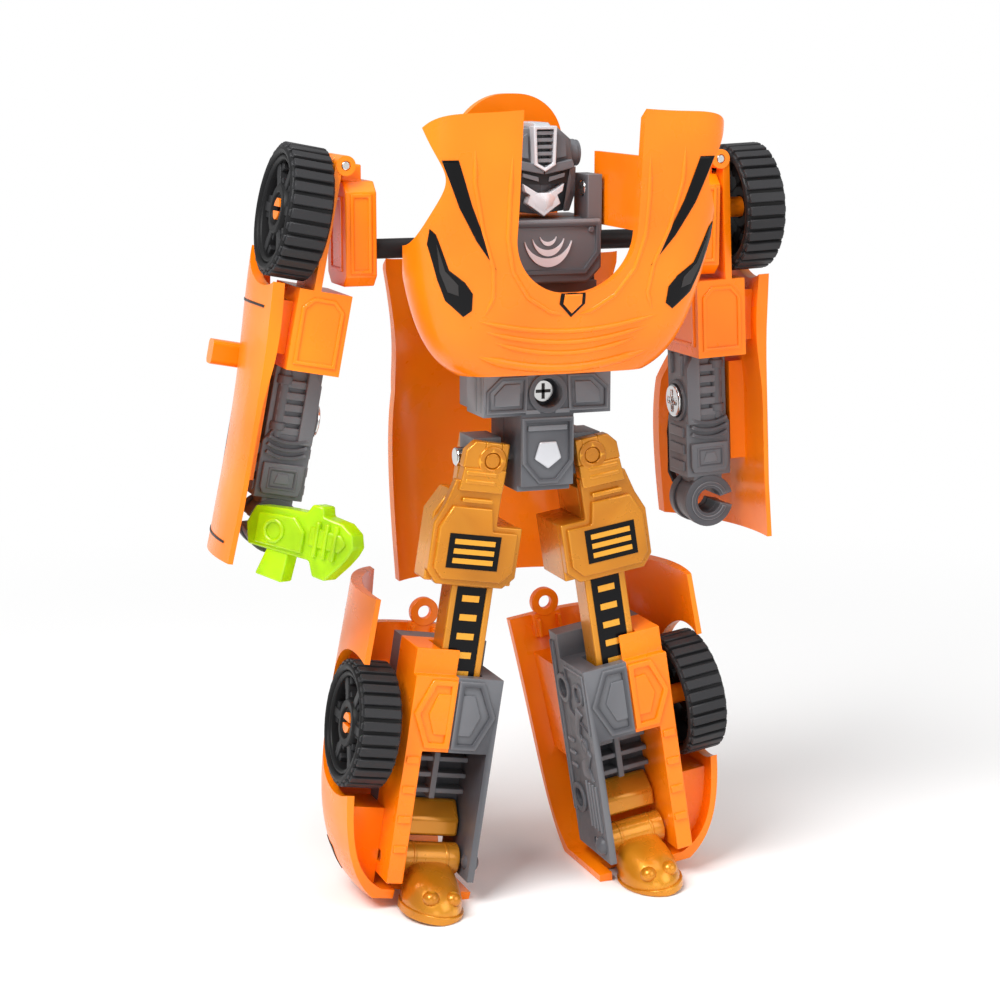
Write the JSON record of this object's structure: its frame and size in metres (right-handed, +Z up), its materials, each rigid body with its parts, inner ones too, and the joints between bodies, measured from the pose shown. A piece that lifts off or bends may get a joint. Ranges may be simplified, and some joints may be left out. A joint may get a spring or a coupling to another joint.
{
  "type": "transforming robot car",
  "caption": "Toy sports coupe that turns into a standing robot, with flipping chest, door arms, telescoping legs and a pull-off blaster.",
  "frame": {"origin": "on the floor under the middle of the standing robot's box", "axes": "+Z up, the robot faces -Y, +X is the robot's left; folded into the car, its nose points to +Z"},
  "size_m": [0.0928, 0.0514, 0.126],
  "materials": {
    "orange_plastic": "glossy",
    "grey_plastic": "satin",
    "gold_plastic": "pearlescent",
    "steel_screw": "bright",
    "black_plastic": "satin",
    "silver_paint": "painted",
    "green_plastic": "translucent"
  },
  "bodies": {
    "torso": {"torso_front": "grey_plastic", "torso_back": "grey_plastic", "torso_screws": "steel_screw", "roof_plate": "orange_plastic", "chest_hinge_pins": "steel_screw", "hip_axle": "steel_screw", "pelvis_badge": "silver_paint", "neck_block": "grey_plastic", "neck_rings": "silver_paint", "head": "grey_plastic", "head_crest": "silver_paint", "visor": "black_plastic", "face_mask": "silver_paint"},
    "chest": {"chest_shell": "orange_plastic"},
    "left_pin": {"left_shoulder_pin": "black_plastic"},
    "left_shoulder": {"left_shoulder_block": "orange_plastic", "left_knuckle_pin": "steel_screw"},
    "left_arm": {"left_upper_arm": "orange_plastic", "left_door": "orange_plastic", "left_mirror": "orange_plastic", "left_forearm": "grey_plastic", "left_arm_screw": "steel_screw", "left_front_axle": "orange_plastic"},
    "left_front_wheel": {"left_front_wheel": "black_plastic"},
    "left_hip": {"left_hip_block": "grey_plastic", "left_hip_pins": "steel_screw"},
    "left_thigh": {"left_thigh": "gold_plastic"},
    "left_shin": {"left_shin": "grey_plastic", "left_shin_frame": "orange_plastic", "left_ankle": "gold_plastic", "left_quarter": "orange_plastic", "left_toe_pin": "steel_screw", "left_rear_axle": "orange_plastic"},
    "left_toe": {"left_toe": "gold_plastic"},
    "left_rear_wheel": {"left_rear_wheel": "black_plastic"},
    "right_pin": {"right_shoulder_pin": "black_plastic"},
    "right_shoulder": {"right_shoulder_block": "orange_plastic", "right_knuckle_pin": "steel_screw"},
    "right_arm": {"right_upper_arm": "orange_plastic", "right_door": "orange_plastic", "right_mirror": "orange_plastic", "right_forearm": "grey_plastic", "right_arm_screw": "steel_screw", "right_front_axle": "orange_plastic"},
    "right_front_wheel": {"right_front_wheel": "black_plastic"},
    "right_hip": {"right_hip_block": "grey_plastic", "right_hip_pins": "steel_screw"},
    "right_thigh": {"right_thigh": "gold_plastic"},
    "right_shin": {"right_shin": "grey_plastic", "right_shin_frame": "orange_plastic", "right_ankle": "gold_plastic", "right_quarter": "orange_plastic", "right_toe_pin": "steel_screw", "right_rear_axle": "orange_plastic"},
    "right_toe": {"right_toe": "gold_plastic"},
    "right_rear_wheel": {"right_rear_wheel": "black_plastic"},
    "blaster": {"blaster": "green_plastic"}
  },
  "joints": [
    {"name": "chest_flip", "type": "hinge", "parent": "torso", "child": "chest", "pos_m": [0.00374, -0.00733, 0.112], "axis": [-1, 0, 0], "range_deg": [0, 180]},
    {"name": "left_arm_slide", "type": "slide", "parent": "torso", "child": "left_pin", "axis": [-1, 0, 0], "range_m": [0, 0.015]},
    {"name": "left_arm_swing", "type": "hinge", "parent": "left_pin", "child": "left_shoulder", "pos_m": [0.03174, -0.00013, 0.1035], "axis": [1, 0, 0], "range_deg": [-170, 0]},
    {"name": "left_arm_lift", "type": "hinge", "parent": "left_shoulder", "child": "left_arm", "pos_m": [0.03404, -0.00233, 0.116], "axis": [0, 1, 0], "range_deg": [-87.5, 2.5]},
    {"name": "left_front_spin", "type": "hinge", "parent": "left_arm", "child": "left_front_wheel", "pos_m": [0.03979, -0.00233, 0.10824], "axis": [0.999, 0, 0.0436], "continuous": true},
    {"name": "left_hip_swing", "type": "hinge", "parent": "torso", "child": "left_hip", "pos_m": [0.01194, -0.00333, 0.071], "axis": [1, 0, 0], "range_deg": [-90, 0]},
    {"name": "left_hip_spread", "type": "hinge", "parent": "left_hip", "child": "left_thigh", "pos_m": [0.01194, -0.00333, 0.071], "axis": [0, 1, 0], "range_deg": [-15, 9]},
    {"name": "left_leg_slide", "type": "slide", "parent": "left_thigh", "child": "left_shin", "axis": [-0.1564, 0, 0.9877], "range_m": [0, 0.007]},
    {"name": "left_toe_fold", "type": "hinge", "parent": "left_shin", "child": "left_toe", "pos_m": [0.02205, -0.00433, 0.0072], "axis": [-0.9877, 0, -0.1564], "range_deg": [0, 90]},
    {"name": "left_rear_spin", "type": "hinge", "parent": "left_shin", "child": "left_rear_wheel", "pos_m": [0.03117, -0.00233, 0.0295], "axis": [0.9877, 0, 0.1564], "continuous": true},
    {"name": "right_arm_slide", "type": "slide", "parent": "torso", "child": "right_pin", "axis": [1, 0, 0], "range_m": [0, 0.015]},
    {"name": "right_arm_swing", "type": "hinge", "parent": "right_pin", "child": "right_shoulder", "pos_m": [-0.02426, -0.00453, 0.1035], "axis": [1, 0, 0], "range_deg": [-170, 0]},
    {"name": "right_arm_lift", "type": "hinge", "parent": "right_shoulder", "child": "right_arm", "pos_m": [-0.02656, -0.00233, 0.116], "axis": [0, -1, 0], "range_deg": [-79, 11]},
    {"name": "right_front_spin", "type": "hinge", "parent": "right_arm", "child": "right_front_wheel", "pos_m": [-0.03339, -0.00233, 0.10918], "axis": [0.9816, 0, -0.1908], "continuous": true},
    {"name": "right_hip_swing", "type": "hinge", "parent": "torso", "child": "right_hip", "pos_m": [-0.00446, -0.00333, 0.071], "axis": [1, 0, 0], "range_deg": [-90, 0]},
    {"name": "right_hip_spread", "type": "hinge", "parent": "right_hip", "child": "right_thigh", "pos_m": [-0.00446, -0.00333, 0.071], "axis": [0, -1, 0], "range_deg": [-15, 9]},
    {"name": "right_leg_slide", "type": "slide", "parent": "right_thigh", "child": "right_shin", "axis": [0.1564, 0, 0.9877], "range_m": [0, 0.007]},
    {"name": "right_toe_fold", "type": "hinge", "parent": "right_shin", "child": "right_toe", "pos_m": [-0.01456, -0.00433, 0.0072], "axis": [-0.9877, 0, 0.1564], "range_deg": [0, 90]},
    {"name": "right_rear_spin", "type": "hinge", "parent": "right_shin", "child": "right_rear_wheel", "pos_m": [-0.02369, -0.00233, 0.0295], "axis": [0.9877, 0, -0.1564], "continuous": true},
    {"name": "blaster_pull", "type": "slide", "parent": "right_arm", "child": "blaster", "axis": [0, -1, 0], "range_m": [0, 0.06]}
  ]
}
